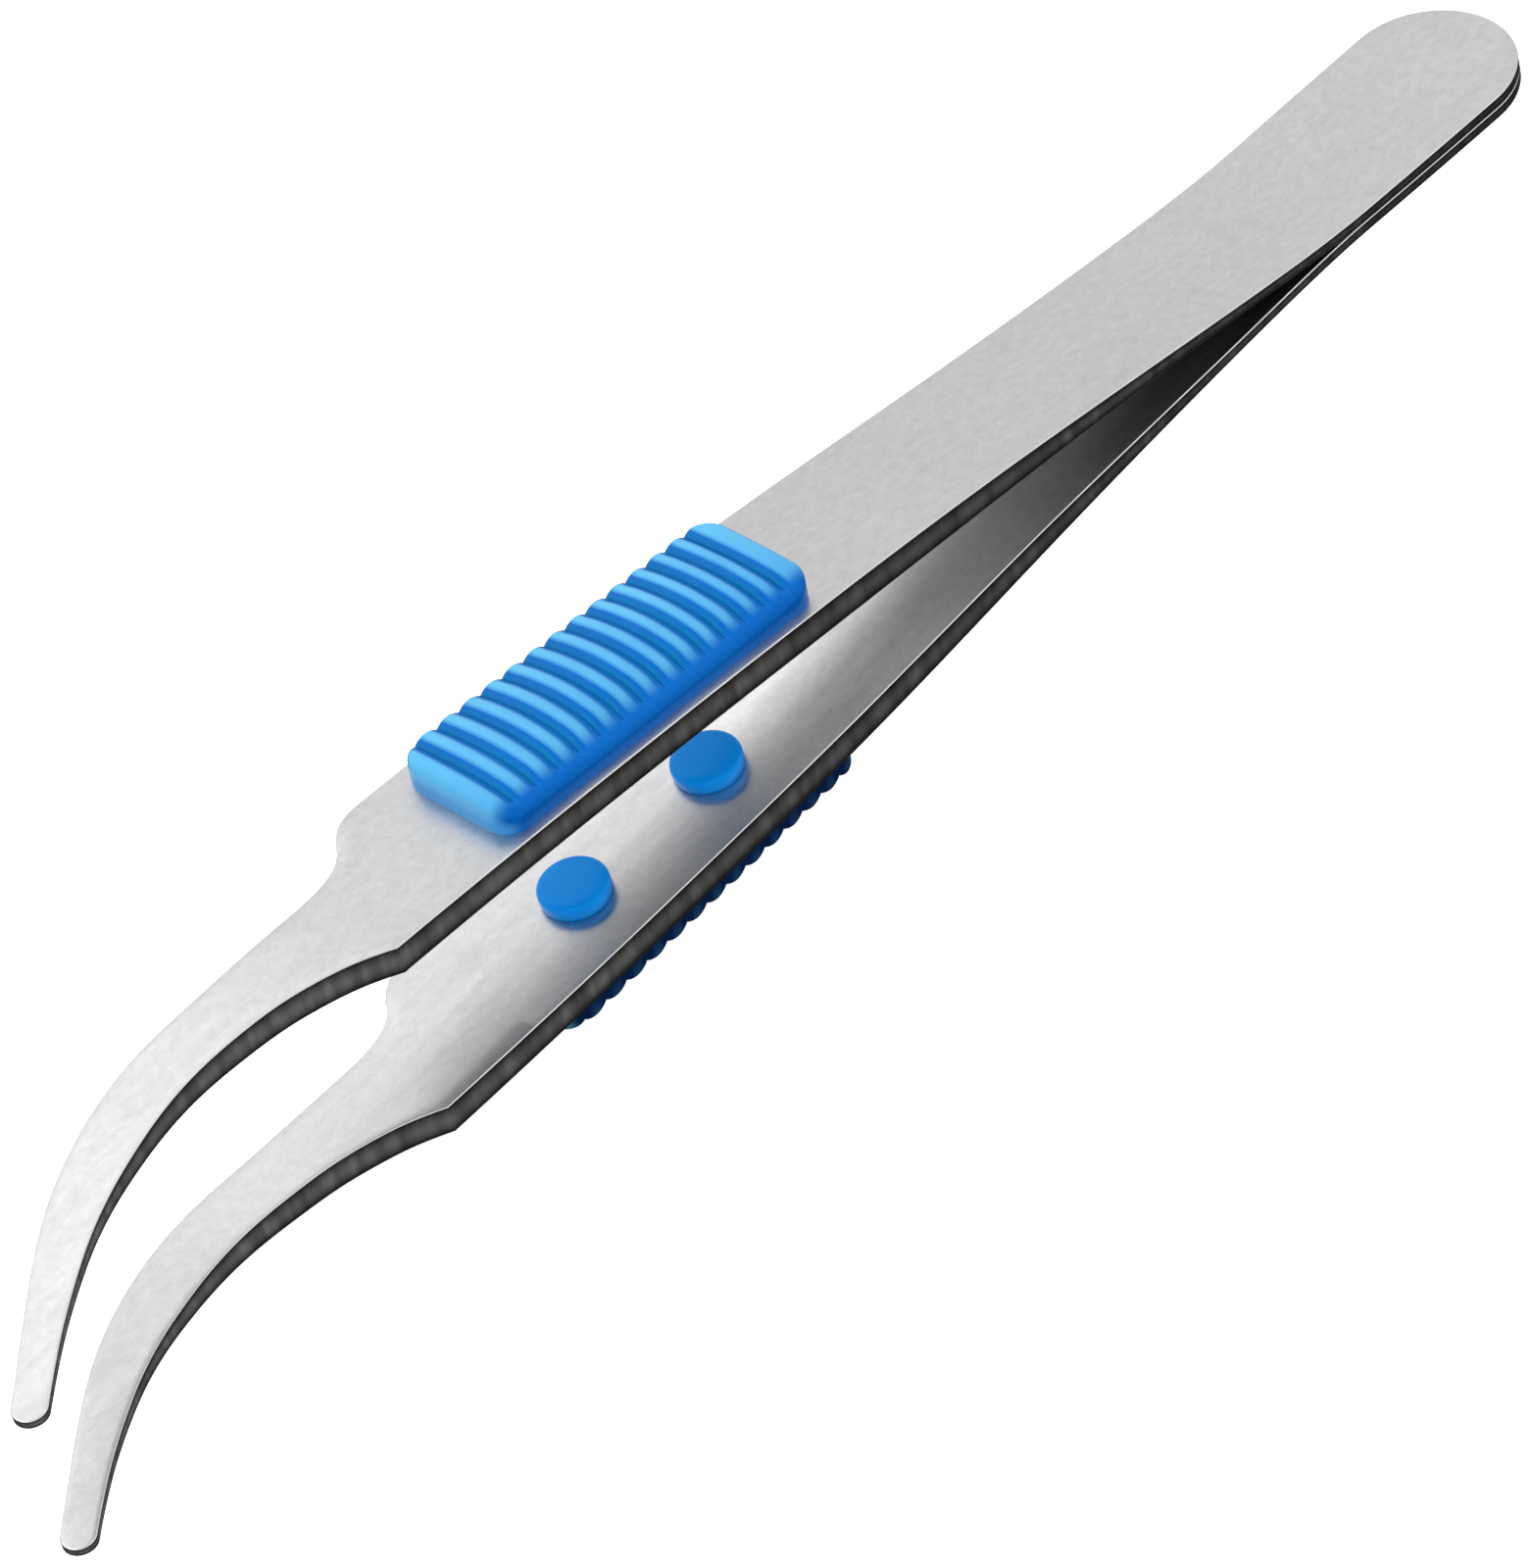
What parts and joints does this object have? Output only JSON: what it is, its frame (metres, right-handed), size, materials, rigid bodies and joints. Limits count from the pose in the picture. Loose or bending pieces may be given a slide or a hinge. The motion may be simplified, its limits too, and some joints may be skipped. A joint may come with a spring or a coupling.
{
  "type": "curved tip tweezers",
  "caption": "Precision tweezers with side-curved rounded tips, two tapered steel arms welded at the heel, ribbed grip pads riveted on through the arms.",
  "frame": {"origin": "middle of the underside of the whole tool's box, at rest with the arms open", "axes": "+X from the welded heel to the tips, +Y to the side the tips curve to, +Z out of the upper arm's outer face"},
  "size_m": [0.125, 0.0164, 0.0175],
  "materials": {
    "arm_steel": "fine satin ground stainless steel",
    "weld_steel": "fused steel of the resistance welds",
    "grip_plastic": "glossy moulded blue plastic"
  },
  "bodies": {
    "heel": {"upper_spring_leaf": "arm_steel", "lower_spring_leaf": "arm_steel", "spot_welds": "weld_steel"},
    "upper_arm": {"upper_arm": "arm_steel", "upper_grip_pad": "grip_plastic", "upper_front_rivet": "grip_plastic", "upper_rear_rivet": "grip_plastic"},
    "lower_arm": {"lower_arm": "arm_steel", "lower_grip_pad": "grip_plastic", "lower_front_rivet": "grip_plastic", "lower_rear_rivet": "grip_plastic"}
  },
  "joints": [
    {"name": "upper_flex", "type": "hinge", "parent": "heel", "child": "upper_arm", "pos_m": [-0.0365, -0.00307, 0.00977], "axis": [0, 1, 0], "range_deg": [0, 2.65], "stiffness_Nm_per_rad": 2},
    {"name": "lower_flex", "type": "hinge", "parent": "heel", "child": "lower_arm", "pos_m": [-0.0365, -0.00307, 0.00769], "axis": [0, -1, 0], "range_deg": [0, 2.65], "stiffness_Nm_per_rad": 2}
  ]
}
